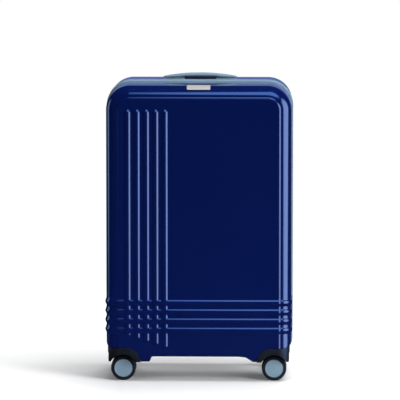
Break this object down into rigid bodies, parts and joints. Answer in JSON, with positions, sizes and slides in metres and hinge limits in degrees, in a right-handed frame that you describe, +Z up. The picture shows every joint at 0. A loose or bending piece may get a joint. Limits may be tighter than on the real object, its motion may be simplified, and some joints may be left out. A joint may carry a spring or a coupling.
{
  "type": "hard shell suitcase on wheels",
  "caption": "Upright hard shell suitcase with ribbed half shells, zip seam, woven side hinge, twin-wheel casters, telescopic pull handle, lifting carry handle and dial lock.",
  "frame": {"origin": "on the floor under the middle of the case", "axes": "+Z up, -Y towards the front panel, +X to the right seen from the front"},
  "size_m": [0.432, 0.28, 0.7],
  "materials": {
    "shell_navy": "polished",
    "binding_blue": "satin",
    "zip_tape": "woven",
    "hinge_webbing": "woven",
    "zip_metal": "satin",
    "badge_metal": "brushed",
    "housing_black": "fine grain",
    "fork_black": "fine grain",
    "tyre_black": "matte",
    "hub_grey": "satin",
    "cap_blue": "satin",
    "steel": "satin",
    "tube_aluminium": "anodised",
    "grip_black": "soft touch",
    "button_grey": "satin",
    "handle_blue": "satin",
    "lock_black": "satin",
    "dial_metal": "satin",
    "lining_cloth": "woven",
    "strap_webbing": "woven",
    "buckle_black": "satin"
  },
  "bodies": {
    "back_half": {"back_shell": "shell_navy", "back_binding": "binding_blue", "back_zip_chain": "zip_tape", "back_hinge_leaf": "hinge_webbing", "housing_back_left": "housing_black", "housing_back_right": "housing_black", "back_caster_fixings": "steel", "trolley_outer_tubes": "tube_aluminium", "trolley_bezel": "grip_black", "trolley_foot": "housing_black", "trolley_cover": "lining_cloth", "carry_mounts": "handle_blue", "carry_screws": "steel", "lock_body": "lock_black", "back_lining": "lining_cloth", "packing_strap": "strap_webbing", "strap_buckle": "buckle_black"},
    "front_half": {"front_shell": "shell_navy", "front_binding": "binding_blue", "front_zip_chain": "zip_tape", "front_hinge_leaf": "hinge_webbing", "badge": "badge_metal", "housing_front_left": "housing_black", "housing_front_right": "housing_black", "front_caster_fixings": "steel", "front_lining": "lining_cloth"},
    "middle_stage": {"trolley_middle_tubes": "tube_aluminium"},
    "pull_stage": {"trolley_inner_tubes": "tube_aluminium", "pull_grip": "grip_black"},
    "pull_release": {"pull_button": "button_grey", "release_bar": "steel"},
    "carry_handle": {"carry_grip": "handle_blue", "carry_crossbar": "steel"},
    "dial_1": {"lock_dial_1": "dial_metal"},
    "dial_2": {"lock_dial_2": "dial_metal"},
    "dial_3": {"lock_dial_3": "dial_metal"},
    "lock_slide": {"lock_button": "button_grey"},
    "upper_slider": {"zip_slider_upper": "zip_metal"},
    "lower_slider": {"zip_slider_lower": "zip_metal"},
    "caster_front_left": {"fork_front_left": "fork_black", "axle_front_left": "steel"},
    "wheels_front_left": {"tyres_front_left": "tyre_black", "hubs_front_left": "hub_grey", "caps_front_left": "cap_blue"},
    "caster_front_right": {"fork_front_right": "fork_black", "axle_front_right": "steel"},
    "wheels_front_right": {"tyres_front_right": "tyre_black", "hubs_front_right": "hub_grey", "caps_front_right": "cap_blue"},
    "caster_back_left": {"fork_back_left": "fork_black", "axle_back_left": "steel"},
    "wheels_back_left": {"tyres_back_left": "tyre_black", "hubs_back_left": "hub_grey", "caps_back_left": "cap_blue"},
    "caster_back_right": {"fork_back_right": "fork_black", "axle_back_right": "steel"},
    "wheels_back_right": {"tyres_back_right": "tyre_black", "hubs_back_right": "hub_grey", "caps_back_right": "cap_blue"}
  },
  "joints": [
    {"name": "lid_hinge", "type": "hinge", "parent": "back_half", "child": "front_half", "pos_m": [-0.2165, 0, 0.37], "axis": [0, 0, -1], "range_deg": [0, 170]},
    {"name": "pull_stage_1", "type": "slide", "parent": "back_half", "child": "middle_stage", "axis": [0, 0, 1], "range_m": [0, 0.2]},
    {"name": "pull_stage_2", "type": "slide", "parent": "middle_stage", "child": "pull_stage", "axis": [0, 0, 1], "range_m": [0, 0.2]},
    {"name": "pull_button_press", "type": "slide", "parent": "pull_stage", "child": "pull_release", "axis": [0, 0, -1], "range_m": [0, 0.003], "stiffness_N_per_m": 900, "springref_m": -0.003},
    {"name": "carry_lift", "type": "slide", "parent": "back_half", "child": "carry_handle", "axis": [0, 0, 1], "range_m": [0, 0.018], "stiffness_N_per_m": 150, "springref_m": -0.01},
    {"name": "lock_button_press", "type": "slide", "parent": "back_half", "child": "lock_slide", "axis": [-1, 0, 0], "range_m": [0, 0.002], "stiffness_N_per_m": 600, "springref_m": -0.001},
    {"name": "zip_upper_slide", "type": "slide", "parent": "back_half", "child": "upper_slider", "axis": [0, 0, 1], "range_m": [0, 0.15]},
    {"name": "zip_lower_slide", "type": "slide", "parent": "back_half", "child": "lower_slider", "axis": [0, 0, -1], "range_m": [0, 0.15]},
    {"name": "dial_1_turn", "type": "hinge", "parent": "back_half", "child": "dial_1", "pos_m": [0.208, 0.0315, 0.4], "axis": [0, 0, 1], "continuous": true},
    {"name": "dial_2_turn", "type": "hinge", "parent": "back_half", "child": "dial_2", "pos_m": [0.208, 0.0315, 0.389], "axis": [0, 0, 1], "continuous": true},
    {"name": "dial_3_turn", "type": "hinge", "parent": "back_half", "child": "dial_3", "pos_m": [0.208, 0.0315, 0.378], "axis": [0, 0, 1], "continuous": true},
    {"name": "swivel_front_left", "type": "hinge", "parent": "front_half", "child": "caster_front_left", "pos_m": [-0.16601, -0.09401, 0.061], "axis": [0, 0, 1], "continuous": true},
    {"name": "roll_front_left", "type": "hinge", "parent": "caster_front_left", "child": "wheels_front_left", "pos_m": [-0.17401, -0.09401, 0.0285], "axis": [0, 1, 0], "continuous": true},
    {"name": "swivel_front_right", "type": "hinge", "parent": "front_half", "child": "caster_front_right", "pos_m": [0.16601, -0.09401, 0.061], "axis": [0, 0, 1], "continuous": true},
    {"name": "roll_front_right", "type": "hinge", "parent": "caster_front_right", "child": "wheels_front_right", "pos_m": [0.17401, -0.09401, 0.0285], "axis": [0, 1, 0], "continuous": true},
    {"name": "swivel_back_left", "type": "hinge", "parent": "back_half", "child": "caster_back_left", "pos_m": [-0.16601, 0.09401, 0.061], "axis": [0, 0, 1], "continuous": true},
    {"name": "roll_back_left", "type": "hinge", "parent": "caster_back_left", "child": "wheels_back_left", "pos_m": [-0.17401, 0.09401, 0.0285], "axis": [0, 1, 0], "continuous": true},
    {"name": "swivel_back_right", "type": "hinge", "parent": "back_half", "child": "caster_back_right", "pos_m": [0.16601, 0.09401, 0.061], "axis": [0, 0, 1], "continuous": true},
    {"name": "roll_back_right", "type": "hinge", "parent": "caster_back_right", "child": "wheels_back_right", "pos_m": [0.17401, 0.09401, 0.0285], "axis": [0, 1, 0], "continuous": true}
  ]
}
